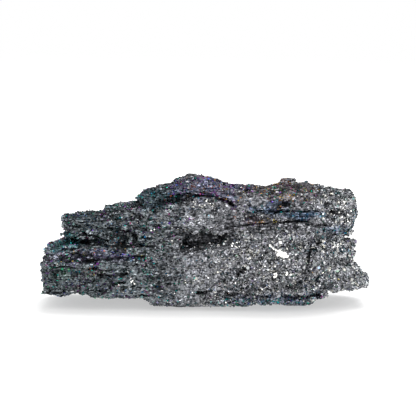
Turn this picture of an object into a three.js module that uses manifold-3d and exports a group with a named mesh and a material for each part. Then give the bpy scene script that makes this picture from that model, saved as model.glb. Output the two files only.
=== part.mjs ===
// A hand specimen of iridescent crystal aggregate, one grown-together mass, in millimetres, +Z up.
// It is a stack of uneven beds of small plate crystals, lying nearly level and stepping back at the
// left end, with a coarser lump bulging out at the lower right. The beds are thick inside and thin at
// their rims, so that a crevice runs round the mass between each one and the next.
// The origin is under the middle of the mass, on the surface that it rests on. The front faces -Y.
import * as THREE from "three";
import { mergeVertices } from "three/addons/utils/BufferGeometryUtils.js";
import { ImprovedNoise } from "three/addons/math/ImprovedNoise.js";
import Module from "manifold-3d";

const LENGTH = 109; // along X, over the rough ends
const COLUMN = 4.8; // widest spacing of a bed's vertices along X
const NARROWEST = 1.4; // closest spacing
const ROWS = 7; // strips of a bed from front to back
const RIM = 2.8; // how far in from its edge a bed thins
const ROUGH = 0.9; // how far the broken surface strays from the outline
const GRAIN = 7; // size of the lumps in that surface

// A bed's shape where it doesn't say otherwise.
const USUAL = {
  crown: 0, // how far the top falls away to the front and back
  thin: 0.82, // share of the thickness left at the rim
  bulge: 0.4, // how far the middle of the edge stands out
  hang: 3, // how far the underside drops behind the rim, to meet the bed below
  tiers: 2, // strips up the edge
};

const wasm = await Module();
wasm.setup();
const perlin = new ImprovedNoise();

// Height or depth at x on an outline of [x, value] points, level past its ends.
function along(outline, x) {
  const next = outline.findIndex(([at]) => at > x);
  if (next === 0) return outline[0][1];
  if (next < 0) return outline.at(-1)[1];
  const [[x0, v0], [x1, v1]] = [outline[next - 1], outline[next]];
  return THREE.MathUtils.mapLinear(x, x0, x1, v0, v1);
}

// Where a bed's vertices stand along X: at every point of its outlines, and between those far apart.
function stations(...outlines) {
  const turns = outlines.flat().map(([x]) => x).sort((a, b) => a - b);
  const right = turns.at(-1);
  const kept = [turns[0]];
  for (const x of turns) {
    if (x - kept.at(-1) >= NARROWEST && (right - x >= NARROWEST || x === right)) kept.push(x);
  }
  return kept.flatMap((x, i) => {
    if (i === 0) return [x];
    const before = kept[i - 1];
    const steps = Math.ceil((x - before) / COLUMN);
    return Array.from({ length: steps }, (_, k) => before + ((x - before) * (k + 1)) / steps);
  });
}

// Smooth noise from about -1 to 1 at a point, different for each seed.
function lumps(x, y, z, size, seed) {
  return 1.6 * perlin.noise(x / size + 7.3 * seed, y / size - 3.1 * seed, z / size + 1.7 * seed);
}

// One bed: a box whose grid is laid between its top and bottom, which are heights along X, and between
// its front and back edges, which are depths along X.
function bed(shape, seed) {
  const { top, bottom, front, back, crown, thin, bulge, hang, tiers } = { ...USUAL, ...shape };
  const xs = stations(top, bottom, front, back);
  const left = xs[0];
  const right = xs.at(-1);
  const box = new THREE.BoxGeometry(2, 2, 2, xs.length - 1, ROWS, tiers);
  box.deleteAttribute("normal");
  box.deleteAttribute("uv");
  const grid = mergeVertices(box);
  const place = grid.attributes.position;
  for (let i = 0; i < place.count; i++) {
    const [u, v, w] = [place.getX(i), place.getY(i), place.getZ(i)];
    const x = xs[Math.round(((u + 1) / 2) * (xs.length - 1))];
    const across = Math.sin((v * Math.PI) / 2); // closer rows towards the edges
    const y = THREE.MathUtils.mapLinear(across, -1, 1, along(front, x), along(back, x));
    const halfDepth = (along(back, x) - along(front, x)) / 2;
    const inward = Math.min((1 - Math.abs(across)) * halfDepth, x - left, right - x);
    const full = THREE.MathUtils.lerp(thin, 1, THREE.MathUtils.smoothstep(inward, 0, RIM));
    const low = along(bottom, x);
    const fall = Math.min(crown, (along(top, x) - low) / 2) * across ** 2;
    const high = along(top, x) - fall;
    const sag = Math.min(w, 0) * hang * THREE.MathUtils.smoothstep(inward, RIM, 3 * RIM);
    const z = (high + low) / 2 + (w * (high - low) * full) / 2 + sag;
    const out = bulge * (1 - w * w);
    const edgeX = Math.abs(u) === 1 ? u * out : 0;
    const edgeY = Math.abs(v) === 1 ? v * out : 0;
    place.setXYZ(
      i,
      x + edgeX + ROUGH * lumps(x, y, z * 2, GRAIN, seed),
      y + edgeY + ROUGH * 1.4 * lumps(x, y, z * 2, GRAIN, seed + 20),
      z + ROUGH * 0.5 * lumps(x, y, z, GRAIN, seed + 40),
    );
  }
  return grid;
}

function solid(geometry) {
  return new wasm.Manifold(
    new wasm.Mesh({
      numProp: 3,
      vertProperties: geometry.attributes.position.array,
      triVerts: new Uint32Array(geometry.index.array),
    }),
  );
}

// The beds from the bottom up.
const BEDS = {
  leftFoot: {
    top: [[-18, 5], [15, 5]],
    bottom: [[-18, -2], [15, -2]],
    front: [[-18, -3], [-14, -9.5], [-7, -12.5], [3, -11], [9, -12.5], [15, -5]],
    back: [[-18, 4], [-10, 9], [0, 13], [8, 11.5], [15, 4]],
    hang: 0,
  },
  rightFoot: {
    top: [[25, 5], [40.4, 6]],
    bottom: [[25, -2], [33, -1.5], [35.6, 0.9], [40.4, 2.6]],
    front: [[25, -5], [28, -10], [35, -11.5], [40.4, -7]],
    back: [[25, 3], [30, 9], [36, 8], [40.4, 2]],
    hang: 0,
  },
  lowest: {
    top: [[-52.6, 12.4], [-40, 13], [0, 13], [40.6, 13]],
    bottom: [
      [-52.6, 3.2], [-50, 3.5], [-44, 3.4], [-42.4, 4.3], [-37.4, 4.3], [-35.4, 3.2],
      [-29, 2.9], [-18.6, 2.9], [-16.4, 1.2], [14, 1.2], [18, 1.9], [24, 1.9],
      [26.4, 1.6], [34, 1.8], [38, 2.8], [40.6, 3.2],
    ],
    front: [[-52.6, -13], [-50, -16], [-36, -18.5], [-15, -19], [15, -19.5], [35, -19], [40.6, -16]],
    back: [[-52.6, 8], [-45, 14], [-26, 17], [-6, 22], [14, 20], [30, 17.5], [40.6, 15]],
    tiers: 3,
    thin: 0.86,
    hang: 0,
  },
  tail: {
    top: [[10, 15], [44, 16], [49.4, 14], [52.4, 11.2], [54.2, 9.4]],
    bottom: [[10, 6], [39.6, 6.4], [46, 6.2], [51, 5.4], [54.2, 5.4]],
    front: [[10, -18], [30, -20], [45, -17], [54.2, -10]],
    back: [[10, 18], [24, 20], [38, 15.5], [50, 11], [54.2, 6]],
    tiers: 3,
    thin: 0.92,
    hang: 0,
  },
  greyBed: {
    top: [[-52.1, 16.2], [-48, 16.8], [-20, 16], [6, 15]],
    bottom: [[-52.1, 11.6], [-44, 12.4], [-34, 11.6], [-20, 10], [6, 9]],
    front: [[-52.1, -13], [-50, -17], [-38, -19.5], [-15, -20], [6, -20]],
    back: [[-52.1, 7], [-46, 13], [-34, 18.5], [-20, 19], [6, 21]],
    thin: 0.86,
  },
  hollowBed: {
    top: [[-50.8, 18.6], [-40, 20], [-20, 20.4], [0, 20]],
    bottom: [[-50.8, 15.6], [-40, 16.2], [-26, 15.4], [0, 14]],
    front: [[-50.8, -12], [-46, -16], [-37, -17], [-29, -16.4], [-26, -18], [0, -19]],
    back: [[-50.8, 6], [-44, 15], [0, 19]],
  },
  greenLedge: {
    top: [
      [-51.6, 19.6], [-50, 20.3], [-46.6, 21.2], [-44.6, 22], [-43, 22.4],
      [-36, 21.6], [-26, 21.2], [-8, 22],
    ],
    bottom: [[-51.6, 17], [-46, 17.6], [-38, 19.4], [-26, 19.8], [-8, 19.6]],
    front: [[-51.6, -13], [-49, -17.5], [-42, -18.5], [-30, -17.5], [-8, -18.5]],
    back: [[-51.6, 5], [-45, 12], [-25, 18], [-8, 19]],
  },
  thinBed: {
    top: [[-46.7, 25.2], [-40, 25.4], [-30, 24.4], [-22, 25]],
    bottom: [[-46.7, 23], [-40, 23], [-34, 21.6], [-22, 21]],
    front: [[-46.7, -11], [-44, -14.5], [-36, -15.6], [-31, -13.4], [-25.5, -13.4], [-22, -17]],
    back: [[-46.7, 4], [-40, 12], [-22, 16]],
  },
  leftShelf: {
    top: [[-45.9, 30.1], [-44.4, 29.8], [-40, 29.6], [-33, 29.8], [-20, 31], [0, 31]],
    bottom: [[-45.9, 26], [-43, 25], [-34, 25.6], [-26, 25.2], [-23, 21], [0, 24.4]],
    front: [[-45.9, -12], [-43, -15], [-30, -17], [-15, -18.5], [0, -18.5]],
    back: [[-45.9, 5], [-38, 12], [-26, 15.5], [-12, 20.5], [0, 19]],
    crown: 0.6,
    thin: 0.9,
    bulge: -0.2,
  },
  centre: {
    top: [[-34, 18], [-24, 20], [-8, 21], [4, 21.2], [18, 22]],
    bottom: [[-34, 6], [-20, 4], [0, 2], [18, 3]],
    front: [[-34, -17.6], [-24, -18.6], [-15, -19.4], [6, -20], [18, -20]],
    back: [[-34, 16], [-14, 21.5], [4, 19], [18, 21]],
    tiers: 3,
    thin: 0.9,
    hang: 0,
  },
  brow: {
    top: [[-24.5, 27], [-12, 27.4], [-6, 25.4]],
    bottom: [[-24.5, 20.6], [-16, 19.4], [-6, 19]],
    front: [[-24.5, -17], [-18, -18.6], [-6, -17.6]],
    back: [[-24.5, 16], [-6, 18]],
    tiers: 3,
    thin: 0.9,
  },
  upperBed: {
    top: [
      [-32.2, 31.6], [-30.6, 32.2], [-28, 32.5], [-24, 32.7], [-20.4, 33.6], [-16.5, 35.4],
      [-8, 36.5], [0, 36.8], [7, 35.7], [14, 34],
    ],
    bottom: [[-32.2, 29.4], [-24, 28], [-12, 27], [-3, 24.8], [4, 25], [14, 26]],
    front: [[-32.2, -11], [-28, -15], [-15, -17], [5, -17.9], [14, -17.9]],
    back: [[-32.2, 4], [-24, 12], [-8, 18], [4, 16], [14, 12]],
    crown: 0.5,
    thin: 0.93,
    hang: 6,
    tiers: 4,
  },
  capWedge: {
    top: [[-20.8, 34.6], [-14, 36], [-6, 36.6]],
    bottom: [[-20.8, 32.6], [-14, 31.6], [-6, 32]],
    front: [[-20.8, -9], [-17, -14], [-6, -15]],
    back: [[-20.8, 5], [-14, 11], [-6, 13]],
  },
  cap: {
    top: [
      [-22, 35.9], [-19.4, 38.2], [-15, 39], [-11.6, 39.3], [-9, 41], [-6.2, 42.4],
      [-2, 42.6], [3, 41.7], [5.6, 40.8], [9.6, 40.2], [14, 39], [20, 37.6],
    ],
    bottom: [[-22, 34.8], [-14, 35.8], [-8, 36.5], [1, 36.6], [8, 35], [14, 32.6], [20, 31]],
    front: [[-22, -9], [-17, -14], [-5, -17], [6, -17], [12, -16], [20, -15]],
    back: [[-22, 4], [-14, 11], [-4, 15], [6, 13], [20, 8]],
    crown: 2.6,
    thin: 0.9,
  },
  rightLower: {
    top: [[4, 27], [12, 29], [20, 30.4], [36, 30.4], [45.4, 30]],
    bottom: [[4, 23], [12, 26], [20, 27], [36, 26.4], [45.4, 22]],
    front: [[4, -17], [20, -18.5], [36, -18.5], [45.4, -12]],
    back: [[4, 15], [16, 19], [30, 18], [40, 15], [45.4, 9]],
  },
  rightMiddle: {
    top: [[12, 34], [30, 34.4], [48.5, 33]],
    bottom: [[12, 29], [30, 30.2], [48.5, 28]],
    front: [[12, -16], [30, -17.5], [42, -15], [48.5, -10]],
    back: [[12, 12], [24, 16.5], [36, 17], [48.5, 7]],
  },
  rightTop: {
    top: [
      [10, 37.6], [17, 39.2], [21, 38.5], [24.2, 39], [26.3, 41.2], [31, 41.2],
      [32.8, 39.7], [34.9, 40.3], [39, 39.2], [42, 38.2], [48, 36.4],
    ],
    bottom: [[10, 32], [30, 33.6], [48, 31.6]],
    front: [[10, -15], [20, -15.5], [34, -16], [48, -11]],
    back: [[10, 9], [22, 12], [34, 14.5], [42, 11], [48, 6]],
    crown: 2.2,
  },
  shoulder: {
    top: [[37, 37.4], [44, 36.5], [48.8, 37.1], [50.2, 36.3]],
    bottom: [[37, 23.6], [45, 22.9], [48.4, 23.2], [50.2, 25.8]],
    front: [[37, -16], [44, -17], [48.8, -14], [50.2, -10]],
    back: [[37, 12], [47, 10], [50.2, 5]],
    tiers: 4,
    bulge: 0.8,
    thin: 0.92,
  },
  lump: {
    top: [[0, 19], [6, 22], [12, 26], [22, 27.4], [36, 27.4], [43, 23.8], [45.4, 21.6]],
    bottom: [[0, 6], [20, 3.4], [40, 6], [45.4, 6.6]],
    front: [[0, -18.5], [8, -20.4], [16, -21.6], [24, -22.4], [36, -21.4], [45.4, -15]],
    back: [[0, 18], [12, 16], [26, 20.5], [38, 18], [45.4, 13]],
    tiers: 5,
    bulge: 1,
    thin: 0.86,
    hang: 0,
  },
  nub: {
    top: [[38, 21.6], [47.4, 22.7], [49.8, 22.2]],
    bottom: [[38, 14], [47, 15], [49.8, 16]],
    front: [[38, -17], [46, -15], [49.8, -11]],
    back: [[38, 13], [46, 9], [49.8, 3]],
  },
};

const beds = Object.values(BEDS).map((shape, i) => solid(bed(shape, i + 1)));
const stack = beds.reduce((joined, one) => joined.add(one));

// What the mass rests on is worn level.
const ground = new THREE.BoxGeometry(2 * LENGTH, 2 * LENGTH, LENGTH);
ground.deleteAttribute("normal");
ground.deleteAttribute("uv");
ground.translate(0, 0, -LENGTH / 2);
const levelled = stack.subtract(solid(mergeVertices(ground)));

// The outer skin is kept, and any pore sealed inside is filled.
const skin = levelled.decompose().reduce((a, b) => (a.volume() > b.volume() ? a : b));

const { vertProperties, triVerts } = skin.getMesh();
const geometry = new THREE.BufferGeometry();
geometry.setAttribute("position", new THREE.BufferAttribute(vertProperties, 3));
geometry.setIndex(new THREE.BufferAttribute(triVerts, 1));
geometry.computeBoundingBox();
const { min, max } = geometry.boundingBox;
geometry.translate(-(min.x + max.x) / 2, -(min.y + max.y) / 2, -min.z);
const scale = LENGTH / (max.x - min.x);
geometry.scale(scale, scale, scale);
geometry.computeVertexNormals();

const steelGrey = new THREE.MeshStandardMaterial({ color: 0x6e727a, roughness: 0.35, metalness: 0.8 });
const mass = new THREE.Mesh(geometry, steelGrey);
mass.name = "crystal_mass";

const specimen = new THREE.Group();
specimen.add(mass);
export default specimen;
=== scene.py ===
"""Looks of an iridescent mineral specimen, a mass of metallic plate crystals grown together."""

import math

import bmesh
import bpy
import numpy as np
from mathutils import Euler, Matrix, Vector, noise
from mathutils.bvhtree import BVHTree


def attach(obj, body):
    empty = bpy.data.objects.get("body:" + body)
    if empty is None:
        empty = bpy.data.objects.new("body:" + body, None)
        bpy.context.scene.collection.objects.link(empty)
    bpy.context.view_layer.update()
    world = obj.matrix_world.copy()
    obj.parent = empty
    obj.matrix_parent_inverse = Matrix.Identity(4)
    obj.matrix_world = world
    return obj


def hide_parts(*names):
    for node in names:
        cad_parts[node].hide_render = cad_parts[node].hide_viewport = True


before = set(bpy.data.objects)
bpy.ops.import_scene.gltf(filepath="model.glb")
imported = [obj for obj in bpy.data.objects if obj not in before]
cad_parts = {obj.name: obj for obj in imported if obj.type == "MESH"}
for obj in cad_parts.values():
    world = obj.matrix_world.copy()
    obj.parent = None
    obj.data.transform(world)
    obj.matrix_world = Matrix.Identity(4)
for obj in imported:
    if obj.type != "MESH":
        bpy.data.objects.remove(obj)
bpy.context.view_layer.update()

MM = 0.001

# ------------ camera
# The view is level with the stone's middle, from the front and a little above, through a long lens,
# so that the beds show edge on and the top of the stone only as a narrow band.
VIEW_DISTANCE = 0.55
VIEW_RISE = math.radians(8)
VIEW_TARGET = Vector((0.00133, 0, 0.0314))
VIEW_WIDTH = 0.139  # how much of the scene's width the frame takes in at the target
SENSOR_WIDTH = 36  # mm

camera_data = bpy.data.cameras.new("camera")
camera_data.sensor_width = SENSOR_WIDTH
camera_data.lens = SENSOR_WIDTH * VIEW_DISTANCE / VIEW_WIDTH
camera = bpy.data.objects.new("camera", camera_data)
camera.rotation_euler = Euler((math.pi / 2 - VIEW_RISE, 0, 0))
camera.location = VIEW_TARGET + VIEW_DISTANCE * Vector((0, -math.cos(VIEW_RISE), math.sin(VIEW_RISE)))
bpy.context.scene.collection.objects.link(camera)
bpy.context.scene.camera = camera

# ------------ the stone's body
# The stone itself, a rigid mass of metallic crystals intergrown in beds that lie nearly level. It keeps
# the imported solid's beds and crevices, and partings run between some of them, cut in and darkened with
# painted shade. The lower right and the right end are coarser, and grew in lumps.
BODY_CELL = 0.48 * MM  # the surface's cell, which keeps it under 200,000 triangles
# All sizes of the stone are in mm.
BED_INSET = 0.7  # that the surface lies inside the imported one, to leave room for what stands on it
LUMP_INSET = 0.35
STEPS = (  # the steps of the beds' edges: how far they stand out, from one to the next, and their length
    (0.55, 2.1, 11),
    (0.2, 0.95, 5),
)
STEP_SQUARENESS = 0.5
WARPS = ((1.5, (26, 26, 20), 4), (0.6, (9, 9, 7), 5))  # how far the beds wander, over what, and a seed
WANDERING_SIZE = (17, 17, 3.2)  # of the surface that the wandering partings follow
WANDERING_HALF = 0.07
WANDERING_DEPTH = 1.5
# how dark the painted shade of the wandering partings is
WANDERING_PAINTED_SHADE = 0.8
WANDERING_IN_FRONT = 0.55  # their depth in the front, which has its own, beside that at the back
LUMPY_FROM = (-4, 20)  # the x over which the lower right turns from beds to lumps
LUMPY_BELOW = (22.5, 28)  # and the heights up to which it is lumps
LUMPY_END = (34, 43)  # the x over which the right end does, at any height
RIDGE_RISE = math.radians(28)  # how steeply the lumps' ridges climb to the right
RIDGES = (0.6, (8, 6, 2.8))  # how far they stand out, and their size
LUMPS = (0.45, 2.6)
BREAKS = ((0.4, (4.5, 4.5, 3), 8), (0.3, 1.6, 9))  # the uneven break of the beds, as the warps
LEVEL_UNDER = (0.2, 2.5)  # the heights over which the stone's foot turns level
UP_SHARE = 0.25  # how much of a step or a parting goes up or down, and not out or in
GROUND = 0.02  # the least height of anything on the stone
BED_DIP = 0.14  # how far the beds fall for each mm towards the back
NOTCH_HEIGHT = 21.9  # of the notch across the right end, half way back
NOTCH_HALF = 0.65
NOTCH_END = 45.2  # the x that it reaches in to
NOTCH_DEPTH = 0.95  # the share of the stone past that x that it takes away
NOTCH_SHADE = 1.5  # from that x to where its painted shade is darkest
DRIFT_SIZE = 3  # of the waver of the front's partings and hollows
DRIFT = 0.35

# Partings along the front: their points (x, z), depth and half height.
FRONT_PARTINGS = (
    (((-12.6, 36.7), (-10.3, 37.3), (-7.7, 37.6), (-1.3, 37.6), (2, 37.4), (3.9, 37), (6.8, 36.2),
      (9.5, 35.2)), 1.8, 0.42),  # under the cap
    (((-20.7, 26.8), (-11.8, 27.1), (-6.1, 27.2)), 0.8, 0.25),
    (((-31.4, 26.7), (-28.1, 26.1), (-24.8, 25.9), (-22.8, 24.6), (-22.4, 22.6)), 1.5, 0.42),  # an arch
    (((-40.7, 25.5), (-38.4, 24.4), (-34.3, 23.6), (-31.5, 22.8)), 1.5, 0.38),  # the left, from the top down
    (((-41.4, 21.9), (-32.1, 21.6), (-26.1, 21.2), (-22.8, 21.7), (-15.9, 21.6)), 1.4, 0.32),
    (((-49.3, 18.9), (-46.3, 20.1), (-42.2, 20.2)), 1.2, 0.32),
    (((-43.3, 18.1), (-40.4, 17.8), (-36.3, 18.3)), 1.2, 0.28),
    (((-38.4, 16.7), (-32.1, 17), (-26, 17.2), (-20.1, 17.8)), 1.3, 0.28),
    (((-49.2, 14.3), (-44.3, 14.3), (-41.5, 13.8), (-34.1, 13.8)), 1.3, 0.32),
    (((-33.8, 11.7), (-28, 12), (-24.7, 12.3)), 1.3, 0.35),
    (((-30.5, 9.1), (-25.6, 9.5)), 1, 0.3),
    (((16.6, 32.7), (25.3, 32.8), (31.1, 32.8), (37.6, 32.6)), 1.1, 0.3),  # the bundle of beds at the right
    (((6.8, 26.9), (10.9, 27.9), (15.7, 28.7), (19.7, 28.9), (27.1, 29.6), (32.7, 29.9)), 1.1, 0.35),
    (((27, 29.6), (33, 29.9)), 1.6, 0.5),
    (((33, 28.7), (37, 28.4), (41.2, 28.3)), 0.9, 0.25),
    (((-16.3, 7.6), (-13.5, 7.7)), 1.2, 0.4),  # low down
    (((-1.5, 6.4), (1, 6.4)), 1.6, 0.5),
    (((6.8, 5.8), (16.5, 5.6), (23, 5.1), (31.3, 4.8), (37.9, 5.1)), 1.3, 0.4),
    (((10.7, 12.5), (13.3, 14.6)), 1.2, 0.5),
    (((38, 23.2), (36.5, 22.5), (36, 21), (34, 20.1), (33.5, 18.4), (33.8, 16.3), (32.9, 13.5)), 1.4, 0.5),
)
# Hollows in the front: the middle (x, z), half width and height, depth, and how dark their painted shade is.
FRONT_HOLLOWS = (
    ((-27.4, 23.6), (4.4, 2.2), 0.5, 0.1),
    ((-23, 23.6), (0.9, 1.5), 1.5, 0.95),
    ((-28, 19.6), (2.2, 0.8), 1, 0.5),
    ((1.5, 23.2), (6.5, 1.8), 0.3, 0.55),
    ((-5.3, 24.1), (1.5, 1.6), 0.8, 0.6),
    ((-0.6, 23.3), (1.7, 1.1), 1.2, 0.95),
    ((1.9, 23.4), (1.2, 1), 1.4, 0.95),
    ((5.9, 23.2), (1.1, 0.9), 1.4, 0.95),
    ((43.1, 32.2), (2.8, 1.2), 3, 1.2),
    ((40.1, 35), (1, 1), 1.2, 0.8),
    ((27.5, 8.5), (1.2, 0.7), 1.3, 0.9),
    ((31, 10.3), (1.2, 0.7), 1.3, 0.85),
    ((32.9, 13.5), (1.4, 1.1), 1.4, 0.9),
)
RELAXING = 30  # rounds of smoothing against which a crevice shows
HOLLOW_DEPTHS = (0.08, 0.75)  # from which a hollow gets painted shade, and at which that shade is darkest


def linked(name, data):
    made = bpy.data.objects.new(name, data)
    bpy.context.scene.collection.objects.link(made)
    return made


def evaluated(thing):
    """The mesh that an object's modifiers make, as a new one."""
    graph = bpy.context.evaluated_depsgraph_get()
    return bpy.data.meshes.new_from_object(thing.evaluated_get(graph), depsgraph=graph)


def per_point(mesh, what):
    """A mesh's places or normals, as rows of x, y and z."""
    flat = np.empty(len(mesh.vertices) * 3, np.float32)
    mesh.vertices.foreach_get(what, flat)
    return flat.reshape(-1, 3).astype(float)


def vertices_mm(mesh):
    return per_point(mesh, "co") / MM


def put_points(mesh, place):
    """Moves a mesh's points to places in mm, none under the ground."""
    place[:, 2] = np.maximum(place[:, 2], GROUND)
    mesh.vertices.foreach_set("co", (place * MM).astype(np.float32).ravel())
    mesh.update()


SEED_STEP = np.array((13.7, -7.9, 5.3))  # how far apart two seeds' noises are taken
NOISE_GAIN = 1.7  # which brings the noise up to about 1


def grain(points, size, seed):
    """Smooth noise from about -1 to 1 at each point, in lumps of a size (x, y, z)."""
    spread = points / size + SEED_STEP * seed
    return np.array([noise.noise(Vector(p)) for p in spread]) * NOISE_GAIN


def soft_step(value, low, high):
    t = np.clip((value - low) / (high - low), 0, 1)
    return t * t * (3 - 2 * t)


def off_line(points, line):
    """How far each point (x, z) lies from a line through a few others."""
    nearest = np.full(len(points), 1e9)
    for start, end in zip(line, line[1:]):
        start, run = np.array(start), np.subtract(end, start)
        share = np.clip((points - start) @ run / (run @ run), 0, 1)
        nearest = np.minimum(nearest, np.linalg.norm(points - start - share[:, None] * run, axis=1))
    return nearest


def lumpy_at(place):
    """1 where the growth is coarse and lumpy: the lower right, and up the right end. 0 in the beds."""
    x, y, z = place.T
    low, high = LUMPY_BELOW
    lower_right = soft_step(x + 0.5 * (24 - z) + 5 * grain(place, 7, 1), *LUMPY_FROM)
    lower_right *= soft_step(-z + 2.2 * grain(place, 6, 2), -high, -low)
    return np.maximum(lower_right, soft_step(x + 3 * grain(place, 7, 3), *LUMPY_END))


def along_ridges(place):
    """The same places in a frame turned so that X runs along the lumps' ridges, up to the right."""
    x, y, z = place.T
    rise, run = math.sin(RIDGE_RISE), math.cos(RIDGE_RISE)
    return np.stack([run * x + rise * z, y, run * z - rise * x], 1)


def uneven(place, waves):
    """The sum of a few noises, each given as how far it goes, its size and its seed."""
    return sum(far * grain(place, size, seed) for far, size, seed in waves)


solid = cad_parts["crystal_mass"]
welded = bmesh.new()
welded.from_mesh(solid.data)
bmesh.ops.remove_doubles(welded, verts=welded.verts, dist=0.0005 * MM)
body_mesh = bpy.data.meshes.new("stone_body")
welded.to_mesh(body_mesh)
welded.free()
body = linked("stone_body", body_mesh)
remesh = body.modifiers.new("cells", "REMESH")
remesh.mode = "VOXEL"
remesh.voxel_size = BODY_CELL
body_mesh = evaluated(body)
body.modifiers.clear()
body.data = body_mesh

place = vertices_mm(body_mesh)
outward = per_point(body_mesh, "normal")
x, y, z = place.T
lumpy = lumpy_at(place)
bedded = 1 - lumpy
warp = uneven(place, WARPS)


def steps(pitch, length):
    """How far each step of a bed's edge stands out, by an amount of its own that drifts along it."""
    at = (z + warp) / pitch
    number = np.floor(at)
    up = at - number
    by_step = np.stack([x / length, y / length, np.zeros_like(z)], 1) + number[:, None] * (3.17, 5.71, 0.37)
    stand = np.array([noise.noise(Vector(p)) for p in by_step]) * 1.5
    return stand * np.sin(math.pi * up) ** STEP_SQUARENESS


side_on = np.sqrt(np.clip(1 - outward[:, 2] ** 2, 0, 1))
shift_out = bedded * side_on * sum(stand * steps(pitch, length) for stand, pitch, length in STEPS)

# Partings and hollows of the front, and thin partings that wander through the beds all round.
front = soft_step(-outward[:, 1], -0.2, 0.25)
front_on = place[:, (0, 2)] + DRIFT * np.stack([grain(place, DRIFT_SIZE, seed) for seed in (30, 31)], 1)
ragged = 0.85 + 0.3 * grain(place, 2.5, 32)
# crevice holds each point's painted shade in the partings, hollows and notch; leaves and crystals keep out
# of it too.
crevice = np.zeros(len(place))
for line, depth, half in FRONT_PARTINGS:
    cut = front * np.exp(-((off_line(front_on, line) / half) ** 4)) * ragged
    shift_out -= side_on * depth * cut
    crevice = np.maximum(crevice, cut)
for middle, reach, depth, dark in FRONT_HOLLOWS:
    cut = front * np.exp(-((((front_on - middle) / reach) ** 2).sum(1) ** 1.5)) * ragged
    shift_out -= side_on * depth * cut
    crevice = np.maximum(crevice, dark * cut)
# A notch across the right end, dipping towards the back as the beds do, with painted shade in it.
dipping = z + BED_DIP * y
notch = np.exp(-(((dipping - NOTCH_HEIGHT) / NOTCH_HALF) ** 2))
notch_in = NOTCH_DEPTH * notch * np.maximum(x - NOTCH_END, 0)
crevice = np.maximum(crevice, notch * soft_step(x, NOTCH_END, NOTCH_END + NOTCH_SHADE))
wandering = grain(place + np.stack([0 * x, 0 * y, warp], 1), WANDERING_SIZE, 33)
cut = np.exp(-((wandering / WANDERING_HALF) ** 2)) * soft_step(grain(place, 9, 34), -0.35, 0.1)
cut *= bedded * (WANDERING_IN_FRONT + (1 - WANDERING_IN_FRONT) * (1 - front))
shift_out -= WANDERING_DEPTH * side_on * cut
crevice = np.clip(np.maximum(crevice, WANDERING_PAINTED_SHADE * cut), 0, 1)

ridge_stand, ridge_size = RIDGES
lump_stand, lump_size = LUMPS
lumps = ridge_stand * grain(along_ridges(place), ridge_size, 6) + lump_stand * grain(place, lump_size, 7)
swelling = lumpy * (lumps - LUMP_INSET) + bedded * (uneven(place, BREAKS) - BED_INSET)
shift = shift_out[:, None] * outward * (1, 1, UP_SHARE)
shift += swelling[:, None] * outward
shift[:, 0] -= notch_in
shift[:, 2] *= soft_step(z, *LEVEL_UNDER)
put_points(body_mesh, place + shift)

# How deep each point lies in a crevice, against the same surface smoothed. Deep points and the crevices
# above get painted shade.
relax = body.modifiers.new("smoothed", "SMOOTH")
relax.factor = 1.0
relax.iterations = RELAXING
smooth_mesh = evaluated(body)
body.modifiers.remove(relax)
smooth_outward = per_point(smooth_mesh, "normal")
hollow = np.einsum("ij,ij->i", vertices_mm(smooth_mesh) - vertices_mm(body_mesh), smooth_outward)
shaded_body = np.clip(soft_step(hollow, *HOLLOW_DEPTHS) + crevice, 0, 1)


def principled(name, **settings):
    """A new material, its nodes and its shader, with some of its inputs set."""
    made = bpy.data.materials.new(name)
    made.use_nodes = True
    shader = made.node_tree.nodes["Principled BSDF"]
    for key, value in settings.items():
        shader.inputs[key.replace("_", " ")].default_value = value
    return made, made.node_tree, shader


def node(tree, kind, **values):
    made = tree.nodes.new(kind)
    for key, value in values.items():
        setattr(made, key, value)
    return made


def connect(tree, socket, source):
    """Links an input to another node's output, or sets it. None leaves it as it is."""
    if isinstance(source, bpy.types.NodeSocket):
        tree.links.new(source, socket)
    elif source is not None:
        socket.default_value = source


def feed(tree, target, *sources, **by_name):
    """Connects a node's inputs, in order or by name."""
    for socket, source in zip(target.inputs, sources):
        connect(tree, socket, source)
    for name, source in by_name.items():
        connect(tree, target.inputs[name.replace("_", " ")], source)
    return target


def maths(tree, operation, *sources):
    return feed(tree, node(tree, "ShaderNodeMath", operation=operation), *sources).outputs[0]


def vectors(tree, operation, *sources):
    return feed(tree, node(tree, "ShaderNodeVectorMath", operation=operation), *sources).outputs[0]


def scaled(tree, vector, share):
    made = node(tree, "ShaderNodeVectorMath", operation="SCALE")
    return feed(tree, made, vector, None, None, share).outputs[0]


def mixed(tree, share, first, second, **values):
    made = node(tree, "ShaderNodeMix", **values)
    for socket, source in zip([s for s in made.inputs if s.enabled], (share, first, second)):
        connect(tree, socket, source)
    return [s for s in made.outputs if s.enabled][0]


# Facets about as fine as the crystals that stand on it, each turned its own way: flat ones in the
# beds, and as high as they are wide in the lumps.
BED_FACETS = ((1300, 1300, 2400), (0.9, 0.9, 1.5))  # how many a metre along x, y and z, and how far turned
LUMP_FACETS = ((2100, 2100, 2100), (1.5, 1.5, 1.5))
FACET_PAINTED_LIGHT = 0.7  # painted light: how much brighter or darker a facet's colour is by how far it is turned towards +x
FACET_MIDDLE = 0.5
STONE_DARK = (0.015, 0.017, 0.02, 1)
STONE_BRIGHT = (0.85, 0.88, 0.94, 1)
stone_finish, tree, shader = principled("intergrown_crystal", Metallic=0.9, Roughness=0.3)
object_place = node(tree, "ShaderNodeTexCoord").outputs["Object"]
turns = []
for fineness, most in (BED_FACETS, LUMP_FACETS):
    cells = node(tree, "ShaderNodeTexVoronoi")
    feed(tree, cells, Vector=vectors(tree, "MULTIPLY", object_place, fineness), Scale=1)
    either_way = vectors(tree, "SUBTRACT", cells.outputs["Color"], (0.5, 0.5, 0.5))
    turns.append(vectors(tree, "MULTIPLY", either_way, most))
coarse_share = node(tree, "ShaderNodeAttribute", attribute_name="lumpy").outputs["Fac"]
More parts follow.
